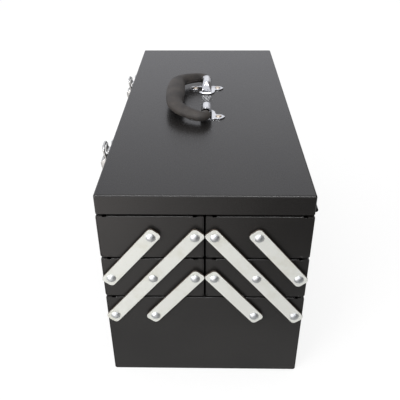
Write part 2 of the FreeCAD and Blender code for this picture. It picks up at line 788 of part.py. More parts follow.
def build_handle():
    """Carrying handle in the middle of the lid: core, grip, two brackets and their saddles."""
    core = round_bar(handle_path(size("bracket_start") - size("stub_length")), size("handle_wire"))
    grip = handle_grip(core)
    axis = Vector(0, 0, LID_TOP + size("handle_axis"))
    for name, shape in (("handle_core", core), ("handle_grip", grip)):
        shape.rotate(axis, ALONG, size("handle_tilt"))
        feature(name, shape)
    bracket = handle_bracket()
    saddle = handle_saddle()
    saddles = []
    for word, way in ENDS:
        foot = Vector(0, way * size("bracket_start"), LID_TOP)
        place = Placement(foot, Rotation(UP, 0 if way < 0 else HALF_TURN))
        copy = bracket.copy()
        copy.Placement = place
        feature(f"{word}_handle_bracket", copy)
        block = saddle.copy()
        block.Placement = place
        saddles.append(block)
    feature("handle_saddles", Part.makeCompound(saddles))


def write_parts():
    """Checks every object and shape, then writes one file for each sub-part."""
    document.recompute()
    for item in document.Objects:
        for state in ("Invalid", "Error"):
            if state in item.State:
                raise RuntimeError(f"{item.Label} is {state}")
    for piece in pieces:
        if piece.Shape.isNull() or not piece.Shape.isValid() or not piece.Shape.Solids:
            raise RuntimeError(f"{piece.Label} has no valid solid")
    os.makedirs("parts", exist_ok=True)
    for piece in pieces:
        piece.Shape.exportStep(f"parts/{piece.Label}.step")
    print(len(pieces), "sub-parts,", sum(len(piece.Shape.Solids) for piece in pieces), "solids")


build_trays()
build_arms()
build_pivots()
build_lid()
build_lid_hinge()
build_latches()
build_handle()
write_parts()
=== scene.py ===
# %% [markdown]
# A cantilever tool box
#
# The real object is a black steel box in five trays that open like stairs on flat zinc arms.
# The steel parts come packed from the CAD model, at their true size and place. This lesson
# dresses them: it gives every sheet its paint or plating, and adds the small round things that
# the CAD model keeps plain, such as rivet heads, washers, wire and the rubber grip.
#
# Blender works in metres and the drawings in millimetres, so the sizes of pieces are written in
# millimetres and scaled once, when a piece is finished.

import json
import math

import bmesh
import bpy
from mathutils import Matrix, Vector
from mathutils.geometry import interpolate_bezier


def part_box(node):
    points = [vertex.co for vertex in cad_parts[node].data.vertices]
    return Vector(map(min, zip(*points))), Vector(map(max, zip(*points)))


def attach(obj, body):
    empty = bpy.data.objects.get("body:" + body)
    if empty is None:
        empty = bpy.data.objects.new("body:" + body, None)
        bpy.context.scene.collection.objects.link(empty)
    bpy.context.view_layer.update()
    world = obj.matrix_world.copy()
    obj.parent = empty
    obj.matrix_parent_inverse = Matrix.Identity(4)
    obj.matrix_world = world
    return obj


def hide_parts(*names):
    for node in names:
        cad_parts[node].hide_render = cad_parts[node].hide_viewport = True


MM = 0.001
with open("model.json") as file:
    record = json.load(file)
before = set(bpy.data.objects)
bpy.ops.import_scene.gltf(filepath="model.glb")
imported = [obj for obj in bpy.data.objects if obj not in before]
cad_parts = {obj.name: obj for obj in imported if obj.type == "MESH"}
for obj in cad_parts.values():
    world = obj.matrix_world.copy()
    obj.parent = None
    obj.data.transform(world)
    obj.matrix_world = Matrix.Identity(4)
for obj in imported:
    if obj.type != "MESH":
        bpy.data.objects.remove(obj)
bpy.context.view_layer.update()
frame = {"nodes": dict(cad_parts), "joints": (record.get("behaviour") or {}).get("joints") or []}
nodes = frame["nodes"]

# %% [markdown]
# Camera
#
# The box is seen from its near end and from above, with the lens of an ordinary close-up. A
# camera can be aimed by dragging it, but three turns written down are easier to repeat: a roll
# about its own axis, a tilt down from the horizon, and a small swing to the side.

# %% Place the camera
LENS = 47.06
SENSOR = 36
CAMERA_SPOT = (3.65, -612.9, 471.9)
CAMERA_SWING = 1.156
CAMERA_TILT = 57.61
CAMERA_ROLL = -0.339
SIGHT = 20


def turned(degrees, axis):
    """A turn about an axis as a 4x4 matrix."""
    return Matrix.Rotation(math.radians(degrees), 4, axis)


camera = bpy.data.objects.new("camera", bpy.data.cameras.new("camera"))
bpy.context.scene.collection.objects.link(camera)
bpy.context.scene.camera = camera
camera.data.lens = LENS
camera.data.sensor_width = SENSOR
camera.data.clip_end = SIGHT
camera.matrix_world = (
    Matrix.Translation(Vector(CAMERA_SPOT) * MM)
    @ turned(CAMERA_SWING, "Z")
    @ turned(CAMERA_TILT, "X")
    @ turned(CAMERA_ROLL, "Z")
)
bpy.context.scene.view_settings.view_transform = "Standard"
print("camera at", [round(v, 3) for v in camera.location])

# %% [markdown]
# A helper for shader nodes
#
# A material is a small graph. Building it by hand means dragging nodes and wires; in code, one
# helper that makes a node, fills its sockets and wires what it is given keeps each material
# down to a few readable lines. More helpers start a material, stretch a pattern's range and
# blend colours.

# %% Helper: one shader node
def shader(tree, kind, settings=None, **sockets):
    """Adds a node, sets its properties, and fills or links its sockets.

    A socket is named, or given by its number, as in i0, where names repeat.
    """
    node = tree.nodes.new(f"ShaderNode{kind}")
    for name, value in (settings or {}).items():
        setattr(node, name, value)
    for name, value in sockets.items():
        key = int(name[1:]) if name[1:].isdigit() else name
        socket = node.inputs[key]
        if isinstance(value, bpy.types.NodeSocket):
            tree.links.new(value, socket)
        else:
            socket.default_value = value
    return node


print("a shader node is one call now")


# %% Helpers: an empty material and a colour
def new_material(name):
    """An empty node material with its output."""
    material = bpy.data.materials.new(name)
    material.use_nodes = True
    tree = material.node_tree
    tree.nodes.clear()
    return material, tree, tree.nodes.new("ShaderNodeOutputMaterial")


def colour(red, green, blue):
    """A colour with its alpha."""
    return (red, green, blue, 1)


WHITE = colour(1, 1, 1)
print("white is", WHITE)


# %% Helpers: stretch a pattern, blend two colours
def spread(tree, value, low, high, to_low, to_high):
    """Stretches a part of a pattern over a new range."""
    node = shader(tree, "MapRange", i0=value, i1=low, i2=high, i3=to_low, i4=to_high)
    return node.outputs[0]


def mixed(tree, share, first, second):
    """Blends two colours by a share."""
    node = shader(tree, "Mix", {"data_type": "RGBA"}, i0=share, i6=first, i7=second)
    return node.outputs[2]


print("patterns can be stretched and colours blended")

# %% [markdown]
# Floor
#
# The box stands on a pale sweep with almost no shadow. One plain white floor would throw too
# much light up on the walls, so the floor is drawn with three shaders: nearly white for the
# camera, plain grey for the light that it throws back, and a third for mirrors. In mirrors the
# floor in front is dark on the right, which shades the walls from left to right as a room does.

# %% Helper: one shader for each kind of ray
def by_ray(tree, plain, mirrored, seen):
    """One shader for plain light, one for mirrors and one for the camera."""
    rays = shader(tree, "LightPath").outputs
    camera_ray, clear_ray = rays["Is Camera Ray"], rays["Is Transmission Ray"]
    straight = shader(tree, "Math", {"operation": "MAXIMUM"}, i0=camera_ray, i1=clear_ray)
    both = shader(tree, "MixShader", i0=rays["Is Glossy Ray"], i1=plain, i2=mirrored)
    return shader(tree, "MixShader", i0=straight.outputs[0], i1=both.outputs[0], i2=seen).outputs[0]


print("three kinds of ray: plain, mirrored and seen")

# %% Floor
FLOOR_HALF = 4.0
FLOOR_GREY = colour(0.62, 0.62, 0.62)
FLOOR_SEEN = colour(0.30, 0.30, 0.30)
FLOOR_GLOW = 0.80
MIRRORED_FLOOR = colour(0.46, 0.46, 0.46)
MIRRORED_LEFT = colour(1.30, 1.24, 1.21)
MIRRORED_RIGHT = colour(0.02, 0.02, 0.02)
DARKENS = (-0.20, 0.10)
IN_FRONT = (-0.27, -0.47)

mesh = bpy.data.meshes.new("floor")
bm = bmesh.new()
bmesh.ops.create_grid(bm, x_segments=1, y_segments=1, size=FLOOR_HALF)
bm.to_mesh(mesh)
bm.free()
floor = bpy.data.objects.new("floor", mesh)
bpy.context.scene.collection.objects.link(floor)

material, tree, output = new_material("pale_floor")
matt = shader(tree, "BsdfDiffuse", Color=FLOOR_GREY).outputs[0]
shaded = shader(tree, "BsdfDiffuse", Color=FLOOR_SEEN).outputs[0]
glow = shader(tree, "Emission", Color=WHITE, Strength=FLOOR_GLOW).outputs[0]
seen = shader(tree, "AddShader", i0=shaded, i1=glow).outputs[0]
spot = shader(tree, "SeparateXYZ", Vector=shader(tree, "TexCoord").outputs["Object"]).outputs
front = mixed(tree, spread(tree, spot["X"], *DARKENS, 0, 1), MIRRORED_LEFT, MIRRORED_RIGHT)
tone = mixed(tree, spread(tree, spot["Y"], *IN_FRONT, 0, 1), MIRRORED_FLOOR, front)
mirrored = shader(tree, "Emission", Color=tone, Strength=1.0).outputs[0]
tree.links.new(by_ray(tree, matt, mirrored, seen), output.inputs[0])
mesh.materials.append(material)
print("floor", 2 * FLOOR_HALF, "m wide")

# %% [markdown]
# World
#
# The room around the box is plain and white. It lights the box at an even level, and in mirrors
# it darkens to the right, which gives the chrome its dark bands. A picture of a room would do
# the same, but two colours and a slope between them are enough for a studio.

# %% World
WORLD_LIGHT = 0.62
SKY_MIRRORED = colour(0.76, 0.765, 0.81)
SKY_DARK = colour(0.16, 0.15, 0.15)
SKY_DARKENS = (0.22, 0.5)

world = bpy.data.worlds.new("studio")
bpy.context.scene.world = world
world.use_nodes = True
tree = world.node_tree
tree.nodes.clear()
plain = shader(tree, "Background", Color=WHITE, Strength=WORLD_LIGHT).outputs[0]
way = shader(tree, "SeparateXYZ", Vector=shader(tree, "TexCoord").outputs["Generated"])
right = spread(tree, way.outputs["X"], *SKY_DARKENS, 0, 1)
sky = mixed(tree, right, SKY_MIRRORED, SKY_DARK)
mirrored = shader(tree, "Background", Color=sky, Strength=1.0).outputs[0]
seen = shader(tree, "Background", Color=WHITE, Strength=1.0).outputs[0]
output = tree.nodes.new("ShaderNodeOutputWorld")
tree.links.new(by_ray(tree, plain, mirrored, seen), output.inputs[0])
print("world with", len(tree.nodes), "nodes")

# %% [markdown]
# Lamps
#
# Satin paint shows its lamps as soft patches, so their places matter more than their power. The
# large ones above and behind give the lid its grey sheen, the ones in front on the left light
# the near end and the arms, and a narrow one over the near edge draws the pale line along the
# lid's bend. That one only shows in gloss, so its plain light is switched off.

# %% Lamps
def soft_lamp(name, spot, aim, size, power):
    """A rectangular lamp at a spot in metres that faces its aim; the size is width and height."""
    lamp = bpy.data.objects.new(name, bpy.data.lights.new(name, "AREA"))
    bpy.context.scene.collection.objects.link(lamp)
    lamp.data.shape = "RECTANGLE"
    lamp.data.size, lamp.data.size_y = size
    lamp.data.energy = power
    turn = (Vector(aim) - Vector(spot)).to_track_quat("-Z", "Y")
    lamp.matrix_world = Matrix.Translation(spot) @ turn.to_matrix().to_4x4()
    return lamp


LAMPS = (
    ("lamp_above", (-0.3, -0.2, 2.2), (0, 0, 0.2), (1.2, 1.2), 5),
    ("lamp_behind", (0.3, 1.75, 1.2), (0, 0, 0.22), (1.8, 1.0), 1.0),
    ("lamp_front", (-0.95, -1.15, 0.42), (-0.05, -0.22, 0.14), (0.7, 0.5), 6.5),
    ("lamp_near_floor", (-0.7, -1.0, 0.5), (-0.22, -0.56, 0.0), (0.5, 0.3), 2.4),
    ("lamp_over_edge", (0, -1.1, 1.7), (0, -0.22, 0.22), (1.2, 0.2), 14),
)
lamps = {row[0]: soft_lamp(*row) for row in LAMPS}
lamps["lamp_over_edge"].visible_diffuse = False
print(len(lamps), "lamps")

# %% [markdown]
# What all finishes share
#
# Each finish is a pattern in the colour, one in the gloss and one in the relief, on a Principled
# shader. The patterns are noise on Object coordinates, so they have their real scale and stay
# on the piece when it moves. Thin sheet has rounded folds and edges that a flat CAD solid
# doesn't show, so the Bevel node lends them to the normals and the edges catch the light.

# %% Helpers: a pattern and its relief
BUSY = (0.3, 0.7)  # a noise pattern has nearly all of its values in this part


def noise(tree, place, cells, detail, roughness):
    """Soft random pattern from 0 to 1, with so many cells a metre."""
    return shader(
        tree, "TexNoise", Vector=place, Scale=cells, Detail=detail, Roughness=roughness
    ).outputs[0]


def bumped(tree, soft, height, depth, strength):
    """Turns a pattern into relief; the depth is in millimetres."""
    return shader(
        tree, "Bump", Strength=strength, Distance=depth * MM, Height=height, Normal=soft
    ).outputs[0]


print("noise values lie mostly between", *BUSY)


# %% Helper: a finish
def finish_material(name, build, edge):
    """A material whose Principled shader takes what the build function gives for its sockets.

    Edges look rounded by the edge value, in millimetres.
    """
    material, tree, output = new_material(name)
    place = shader(tree, "TexCoord").outputs["Object"]
    soft = shader(tree, "Bevel", {"samples": 4}, Radius=edge * MM).outputs[0]
    surface = shader(tree, "BsdfPrincipled", **build(tree, place, soft))
    tree.links.new(surface.outputs[0], output.inputs[0])
    print(name, len(tree.nodes), "shader nodes")
    return material


# %% [markdown]
# Black powder coat
#
# The trays and the lid are powder coated: a paint that is dusted on and melted. It is satin,
# with fine grains and a faint waviness called orange peel. A flat grey with some gloss would
# look like plastic, so two patterns, one of about 0.7 mm and one of about 3 mm, drive the
# relief, and the fine one the gloss as well.

# %% Black powder coat
COAT = colour(0.0175, 0.0165, 0.016)
COAT_WORN = colour(0.022, 0.0205, 0.0195)
GRAIN_CELLS, PEEL_CELLS, WORN_CELLS = 1500, 330, 14
GRAIN_DEPTH, PEEL_DEPTH = 0.04, 0.08
COAT_GLOSS = (0.23, 0.33)
SHEET_EDGE = 0.35


def coat(tree, place, soft):
    """Satin powder coat: fine grains over a faint orange peel."""
    grain = noise(tree, place, GRAIN_CELLS, detail=2, roughness=0.6)
    peel = noise(tree, place, PEEL_CELLS, detail=1, roughness=0.5)
    worn = noise(tree, place, WORN_CELLS, detail=3, roughness=0.5)
    relief = bumped(tree, soft, peel, PEEL_DEPTH, strength=0.25)
    return {
        "Base Color": mixed(tree, spread(tree, worn, *BUSY, 0, 1), COAT, COAT_WORN),
        "Roughness": spread(tree, grain, *BUSY, *COAT_GLOSS),
        "Normal": bumped(tree, relief, grain, GRAIN_DEPTH, strength=0.25),
    }


powder_coat = finish_material("black_powder_coat", coat, SHEET_EDGE)

# %% [markdown]
# Zinc plate
#
# The arms are zinc plated and lie flat: from a step away they look almost white, with faint
# beige clouds where the plating has dulled. Their sheared edges are darker and browner than
# their faces: partly bare steel, partly painted shade. Two materials on one arm would need its
# faces sorted, so the face or edge is told apart in the material, by the surface's own
# direction in the mesh.

# %% Zinc plate
ZINC = colour(0.80, 0.805, 0.76)
# Colour of the sheared edges: bare steel gone brown, darkened further as painted shade.
ZINC_DULL = colour(0.66, 0.645, 0.55)
SHEARED_EDGE_AND_SHADE = colour(0.16, 0.125, 0.10)
CLOUD_CELLS, SPECK_CELLS = 38, 420
CLOUDS_IN, SPECKS_IN = (0.5, 0.76), (0.60, 0.78)
CLOUD_SHARE, SPECK_SHARE = 0.8, 0.55
SPECK_DEPTH = 0.03
ZINC_GLOSS = (0.44, 0.58)
METAL_EDGE = 0.3


def zinc(tree, place, soft):
    """Dull zinc plate with beige clouds; its sheared edges are browner bare steel with painted shade
    on top.
    """
    cloud = noise(tree, place, CLOUD_CELLS, detail=4, roughness=0.6)
    speck = noise(tree, place, SPECK_CELLS, detail=3, roughness=0.6)
    face = mixed(tree, spread(tree, cloud, *CLOUDS_IN, 0, CLOUD_SHARE), ZINC, ZINC_DULL)
    face = mixed(tree, spread(tree, speck, *SPECKS_IN, 0, SPECK_SHARE), face, ZINC_DULL)
    way = shader(tree, "NewGeometry").outputs["True Normal"]
    along = shader(tree, "SeparateXYZ", Vector=way).outputs["Y"]
    flat = shader(tree, "Math", {"operation": "ABSOLUTE"}, i0=along).outputs[0]
    return {
        # Faces that turn away from the arm's flat sides get the edge colour, partly bare steel and
        # partly painted shade.
        "Base Color": mixed(tree, spread(tree, flat, *BUSY, 1, 0), face, SHEARED_EDGE_AND_SHADE),
        "Roughness": spread(tree, cloud, *BUSY, *ZINC_GLOSS),
        "Normal": bumped(tree, soft, speck, SPECK_DEPTH, strength=0.3),
        "Metallic": 0.15,
    }


zinc_plate = finish_material("zinc_plate", zinc, METAL_EDGE)

# %% [markdown]
# Bright metals
#
# Rivets, latches, brackets and the tan rivets of the brackets are all bare or bright plated
# metal. What tells them apart is their colour and how blurred they mirror the room: chrome is
# the clearest, peened rivets are the dullest. So one recipe makes all four.

# %% Bright metals
DULL_CELLS, SCRATCH_CELLS = 160, 900
DULL_IN = (0.35, 0.75)
SCRATCH_DEPTH = 0.01


def plated(name, bright, dull, gloss):
    """A bright metal finish with fine scratches in its gloss and faint clouds in its colour."""

    def build(tree, place, soft):
        cloud = noise(tree, place, DULL_CELLS, detail=3, roughness=0.6)
        fine = noise(tree, place, SCRATCH_CELLS, detail=2, roughness=0.5)
        return {
            "Base Color": mixed(tree, spread(tree, cloud, *DULL_IN, 0, 1), bright, dull),
            "Roughness": spread(tree, fine, *BUSY, *gloss),
            "Normal": bumped(tree, soft, fine, SCRATCH_DEPTH, strength=0.2),
            "Metallic": 1.0,
        }

    return finish_material(name, build, METAL_EDGE)


rivet_metal = plated("rivet_metal", colour(0.74, 0.76, 0.77), colour(0.64, 0.66, 0.67), (0.42, 0.54))
latch_metal = plated("latch_metal", colour(0.72, 0.72, 0.71), colour(0.60, 0.60, 0.59), (0.18, 0.30))
chrome = plated("bracket_chrome", colour(0.80, 0.81, 0.83), colour(0.70, 0.71, 0.73), (0.08, 0.18))
brass = plated("brass_rivet", colour(0.80, 0.71, 0.60), colour(0.68, 0.59, 0.49), (0.30, 0.42))

# %% [markdown]
# Grip rubber
#
# The grip is matte dark rubber that goes brown and paler where it is handled. Black plastic
# would look close, but rubber has hardly any gloss, so its roughness is high, and its skin has
# a fine relief, about 1 mm from bump to bump.

# %% Grip rubber
RUBBER = colour(0.038, 0.034, 0.032)
RUBBER_PALE = colour(0.080, 0.069, 0.061)
RUBBED_CELLS, SKIN_CELLS = 60, 1100
RUBBED_IN = (0.35, 0.7)
SKIN_DEPTH = 0.08
RUBBER_GLOSS = (0.58, 0.72)


def rubber(tree, place, soft):
    """Matte rubber, slightly paler where hands have rubbed it."""
    rubbed = noise(tree, place, RUBBED_CELLS, detail=4, roughness=0.6)
    skin = noise(tree, place, SKIN_CELLS, detail=3, roughness=0.6)
    return {
        "Base Color": mixed(tree, spread(tree, rubbed, *RUBBED_IN, 0, 1), RUBBER, RUBBER_PALE),
        "Roughness": spread(tree, skin, *BUSY, *RUBBER_GLOSS),
        "Normal": bumped(tree, soft, skin, SKIN_DEPTH, strength=0.5),
    }


grip_rubber = finish_material("grip_rubber", rubber, METAL_EDGE)

# %% [markdown]
# Dress the CAD nodes
#
# The bent shells, ends, arms and hinge leaves come from the CAD model as they should look. A
# node whose shape is right keeps its mesh and only gets a finish, which a word in its name
# decides, so that a new tray or arm gets its finish too.

# %% Give each node its finish
FINISHES = (
    ("arm_", zinc_plate),
    ("latch", latch_metal),
    ("catch", latch_metal),
    ("rivets", rivet_metal),
    ("bracket", chrome),
    ("handle_grip", grip_rubber),
    ("handle_core", latch_metal),
    ("saddles", latch_metal),
)


def finish_for(name):
    """The first finish whose word is in the node's name, else the black coat."""
    for word, material in FINISHES:
        if word in name:
            return material
    return powder_coat


for name, node in nodes.items():
    node.data.materials.clear()
    node.data.materials.append(finish_for(name))
print("finishes on", len(nodes), "nodes")

# %% [markdown]
# Helpers for new pieces
#
# A new piece starts as a bmesh in millimetres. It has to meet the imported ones, so the main
# places are read from the CAD model, from the boxes around its nodes and the axes of its
# joints: typed numbers would stay behind when the model changes.

# %% Helper: places from the CAD model
def joint_spot(name):
    """A point on a joint's axis, in millimetres."""
    joint = next(row for row in frame["joints"] if row["name"] == name)
    return Vector(joint["pos_m"]) / MM


def node_box(name):
    """The lowest and highest corners of a CAD node, in millimetres."""
    return [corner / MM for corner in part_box(name)]


lid_low, lid_high = node_box("lid_shell")
LID_EDGE, LID_TOP = lid_low.z, lid_high.z
print("the lid's skirt is", round(LID_TOP - LID_EDGE, 1), "mm tall")

# %% [markdown]
# Turned parts are spun from half an outline, which keeps them round all the way and takes one
# line of points. A repeated part is copied inside its bmesh, so that it stays one piece.

# %% Helper: turned parts
ROUND_STEPS = 40
SAME_SPOT = 0.001


def spun(profile, steps=ROUND_STEPS, ring=False):
    """A solid turned about Z from points of (radius, height).

    The points start and end on the axis, or close on themselves for a ring.
    """
    bm = bmesh.new()
    verts = [bm.verts.new((radius, 0, height)) for radius, height in profile]
    edges = [bm.edges.new(pair) for pair in zip(verts, verts[1:])]
    if ring:
        edges.append(bm.edges.new((verts[-1], verts[0])))
    turn = {"axis": (0, 0, 1), "cent": (0, 0, 0), "angle": math.tau, "steps": steps}
    bmesh.ops.spin(bm, geom=verts + edges, use_merge=True, **turn)
    bmesh.ops.remove_doubles(bm, verts=bm.verts, dist=SAME_SPOT)
    return bm


print("turned parts have", ROUND_STEPS, "sides")


# %% Helper: copies
def verts_in(items):
    """The vertices in what an operator made."""
    return [item for item in items if isinstance(item, bmesh.types.BMVert)]


def copied(bm, places):
    """Puts a copy of everything in the bmesh at each place and takes the first one away."""
    first = bm.verts[:] + bm.edges[:] + bm.faces[:]
    for place in places:
        made = bmesh.ops.duplicate(bm, geom=first)["geom"]
        bmesh.ops.transform(bm, matrix=place, verts=verts_in(made))
    bmesh.ops.delete(bm, geom=verts_in(first), context="VERTS")
    return bm


print("copies stay in one bmesh")

# %% [markdown]
# When a piece is done it gets its scale, its outward normals, its finish and the CAD body that
# it rides on. Round parts are shaded smooth, and their corners stay sharp by angle.

# %% Helper: a finished piece
SHARP_ANGLE = 40


def piece(name, bm, body, material, stands_for=()):
    """Finishes a bmesh in millimetres as a named piece that rides on a CAD body."""
    bmesh.ops.scale(bm, vec=(MM, MM, MM), verts=bm.verts)
    bmesh.ops.recalc_face_normals(bm, faces=bm.faces)
    data = bpy.data.meshes.new(name)
    bm.to_mesh(data)
    bm.free()
    data.shade_smooth()
    data.set_sharp_from_angle(angle=math.radians(SHARP_ANGLE))
    data.materials.append(material)
    made = bpy.data.objects.new(name, data)
    bpy.context.scene.collection.objects.link(made)
    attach(made, body)
    if stands_for:
        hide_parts(*stands_for)
    print(name, len(data.polygons), "faces")


print("edges sharper than", SHARP_ANGLE, "degrees stay sharp")

# %% [markdown]
# Pivot rivets and washers
#
# Each arm turns on rivets whose domed heads sit on a thin brim. The joints of a long arm give
# three of the pivots, on one slanted line, and the others are level with these or straight
# above or below them. So three columns and three rows give them all.

# %% Where the pivots are
LONG_ARM_JOINTS = ("left_spread", "left_middle_level", "left_top_level")
TIERS = {"middle": ((0, 1), (1, 1), (2, 1)), "top": ((1, 2), (2, 2))}  # column and row of each pivot
HALF_LENGTH = node_box("base_shell")[1].y

long_arm = [joint_spot(name) for name in LONG_ARM_JOINTS]
columns = [-spot.x for spot in long_arm]
rows = [spot.z for spot in long_arm]


def pivot_places(spots):
    """Places for the pivots at both ends of the box: outwards is the turned part's Z."""
    places = []
    for across, rise in spots:
        for way in (-1, 1):
            foot = Matrix.Translation((across, way * HALF_LENGTH, rise))
            places.append(foot @ turned(-90 * way, "X"))
    return places


print("columns", [round(x, 1) for x in columns], "rows", [round(z, 1) for z in rows])

# %% [markdown]
# A rivet is a turned part, so half its outline is drawn: the dome outside, the shank through
# the arm and the wall, and the tail that was peened flat inside the tray. A washer keeps the
# arm off the paint; its outline is closed, because it has a hole.

# %% Outlines of the rivet and the washer
STANDOFF = 2.0
ARM_OUTSIDE = 4.2
WALL = 1.0
RIVET_PROFILE = (
    (0, ARM_OUTSIDE + 2.4),
    (1.1, ARM_OUTSIDE + 2.32),
    (2.1, ARM_OUTSIDE + 2.06),
    (3.0, ARM_OUTSIDE + 1.6),
    (3.7, ARM_OUTSIDE + 1.0),
    (4.0, ARM_OUTSIDE + 0.62),
    (4.35, ARM_OUTSIDE + 0.5),
    (4.5, ARM_OUTSIDE + 0.3),
    (4.5, ARM_OUTSIDE + 0.1),
    (4.35, ARM_OUTSIDE),
    (2.4, ARM_OUTSIDE),
    (2.4, -WALL),
    (3.6, -WALL),
    (3.2, -WALL - 0.7),
    (1.6, -WALL - 1.0),
    (0, -WALL - 1.0),
)
WASHER_PROFILE = (
    (2.4, 0.0),
    (4.4, 0.0),
    (4.6, 0.2),
    (4.6, STANDOFF - 0.2),
    (4.4, STANDOFF),
    (2.4, STANDOFF),
)
print("a rivet is", round(RIVET_PROFILE[0][1] - RIVET_PROFILE[-1][1], 1), "mm tall")


# %% Rivets and washers of every tray
def rivet_group(name, body, spots):
    """Rivets and washers of one tray."""
    places = pivot_places(spots)
    rivets = copied(spun(RIVET_PROFILE), places)
    piece(f"{name}_domed_rivets", rivets, body, rivet_metal, (f"{name}_rivets",))
    washers = copied(spun(WASHER_PROFILE, ring=True), places)
    piece(f"{name}_washers", washers, body, latch_metal)


spots = [(sign * across, rows[0]) for sign in (-1, 1) for across in columns[:2]]
rivet_group("base", "base", spots)
for side, sign in (("left", -1), ("right", 1)):
    for tier, pivots in TIERS.items():
        spots = [(sign * columns[column], rows[row]) for column, row in pivots]
        rivet_group(f"{side}_{tier}", f"{side}_{tier}_tray", spots)

# %% [markdown]
# Lines, rings and plates
#
# Wire, rubber and pressed sheet are all drawn the same way: a line whose corners are turned
# into arcs, then either a ring that is pushed along it or a plate that is cut out by it.

# %% Helper: arcs in the corners of a line
def rounded(corners, steps=8):
    """Points of a line whose corners, each a spot and a radius, are turned into arcs.

    The ends of an open line have no radius; a closed line may have one at every corner.
    """
    spots = [Vector(spot) for spot, _ in corners]
    line = []
    for index, (spot, (_, radius)) in enumerate(zip(spots, corners)):
        if not radius:
            line.append(spot)
            continue
        back = (spots[index - 1] - spot).normalized()
        ahead = (spots[(index + 1) % len(spots)] - spot).normalized()
        half = back.angle(ahead) / 2
        centre = spot + (back + ahead).normalized() * (radius / math.sin(half))
        start = spot + back * (radius / math.tan(half)) - centre
        end = spot + ahead * (radius / math.tan(half)) - centre
        for step in range(steps + 1):
            line.append(centre + start.slerp(end, step / steps).normalized() * radius)
    return line


corner = (((0, 0, 0), 0), ((10, 0, 0), 3), ((10, 10, 0), 0))
print("one corner becomes", len(rounded(corner)) - 2, "points")


# %% Helper: push an outline from place to place
def pushed_on(bm, rim, stations):
    """Extrudes the edges of an outline from one station to the next and gives back the last ones.

    A station is the matrix that carries the outline, as it was first drawn, to its place.
    """
    bmesh.ops.transform(bm, matrix=stations[0], verts=bm.verts)
    for before, after in zip(stations, stations[1:]):
        made = bmesh.ops.extrude_edge_only(bm, edges=rim)["geom"]
        verts = verts_in(made)
        edges = [item for item in made if isinstance(item, bmesh.types.BMEdge)]
        rim = [edge for edge in edges if all(vert in verts for vert in edge.verts)]
        bmesh.ops.transform(bm, matrix=after @ before.inverted(), verts=verts)
    return rim


def pushed(stations, segments):
    """A closed tube: a ring that lies across Z, pushed through its stations."""
    bm = bmesh.new()
    bmesh.ops.create_circle(bm, cap_ends=True, radius=1, segments=segments)
    rim = pushed_on(bm, bm.edges[:], stations)
    bmesh.ops.contextual_create(bm, geom=rim)
    return bm


print("an outline can be pushed through any row of places")


# %% Helper: rings along a line
WIRE_SIDES = 16


def stations_on(points, sizes, upright):
    """Ring places on a flat line: each size is (half in the line's plane, half along upright)."""
    places = []
    for index, point in enumerate(points):
        back = points[max(index - 1, 0)]
        ahead = points[min(index + 1, len(points) - 1)]
        way = (ahead - back).normalized()
        level = Vector(upright).cross(way).normalized()
        turn = Matrix((level, way.cross(level), way)).transposed().to_4x4()
        across, tall = sizes[index]
        places.append(Matrix.Translation(point) @ turn @ Matrix.Diagonal((across, tall, 1, 1)))
    return places


def wire(corners, radius, upright):
    """A round wire with bent corners."""
    line = rounded(corners)
    return pushed(stations_on(line, [(radius, radius)] * len(line), upright), WIRE_SIDES)


print("wire has", WIRE_SIDES, "sides")

# %% Helper: cut a plate
RIM_ANGLE = 70


def plate(loop, thickness, edge):
    """A plate on the XY plane, cut out by a closed line, with the edge around it bevelled."""
    bm = bmesh.new()
    verts = [bm.verts.new(spot) for spot in loop]
    for index, vert in enumerate(verts):
        bm.edges.new((verts[index - 1], vert))
    bmesh.ops.triangle_fill(bm, use_beauty=True, use_dissolve=False, edges=bm.edges[:])
    made = bmesh.ops.extrude_face_region(bm, geom=bm.faces[:])["geom"]
    bmesh.ops.translate(bm, vec=(0, 0, thickness), verts=verts_in(made))
    bmesh.ops.recalc_face_normals(bm, faces=bm.faces)
    rims = [item for item in bm.edges if item.calc_face_angle(0) > math.radians(RIM_ANGLE)]
    bmesh.ops.bevel(
        bm, geom=rims, offset=edge, segments=2, profile=0.5, affect="EDGES", material=-1
    )
    return bm


def join(bm, other):
    """Adds the second bmesh to the first one."""
    mesh = bpy.data.meshes.new("part")
    other.to_mesh(mesh)
    other.free()
    bm.from_mesh(mesh)
    bpy.data.meshes.remove(mesh)


print("the edge around a plate is bevelled where it turns more than", RIM_ANGLE, "degrees")

# %% [markdown]
# The rubber grip
#
# The grip is one soft moulding over a steel core: round where it enters the brackets, thicker
# in the bends, and broad and flat where the hand lies. A bevelled curve would stay round, so a
# ring is pushed along the line and resized as it goes. Half of the line is drawn as four Bezier
# curves and the other half is its mirror image.

# %% Line of the grip
GRIP_CURVES = (
    ((0, -55.3), (0, -61.2), (-3.2, -64.8), (-9.2, -63.4)),
    ((-9.2, -63.4), (-14.5, -62.1), (-19.5, -58.4), (-24, -54.8)),
    ((-24, -54.8), (-29.5, -50.4), (-35.6, -43.5), (-37.2, -33)),
    ((-37.2, -33), (-38, -24), (-38, -10), (-38, 0)),
)
CURVE_STEPS = 12

half_line = []
for curve in GRIP_CURVES:
    knots = [Vector((x, y, 0)) for x, y in curve]
    run = interpolate_bezier(*knots, CURVE_STEPS)
    half_line += run if not half_line else run[1:]
line = half_line + [Vector((p.x, -p.y, p.z)) for p in reversed(half_line[:-1])]
lengths = [0.0]
for before, after in zip(line, line[1:]):
    lengths.append(lengths[-1] + (after - before).length)
shares = [max(0.0, 1 - abs(2 * reached / lengths[-1] - 1)) for reached in lengths]
print("the grip is", round(lengths[-1]), "mm long, with", len(line), "rings")

# %% [markdown]
# The sizes of the ring are short tables, from the mouth, share 0, to the middle of the hand,
# share 1. Straight steps between them would show as rings of light on the rubber, so what is
# read from a table is smoothed.

# %% Helper: values along a line
SMOOTHING = 30


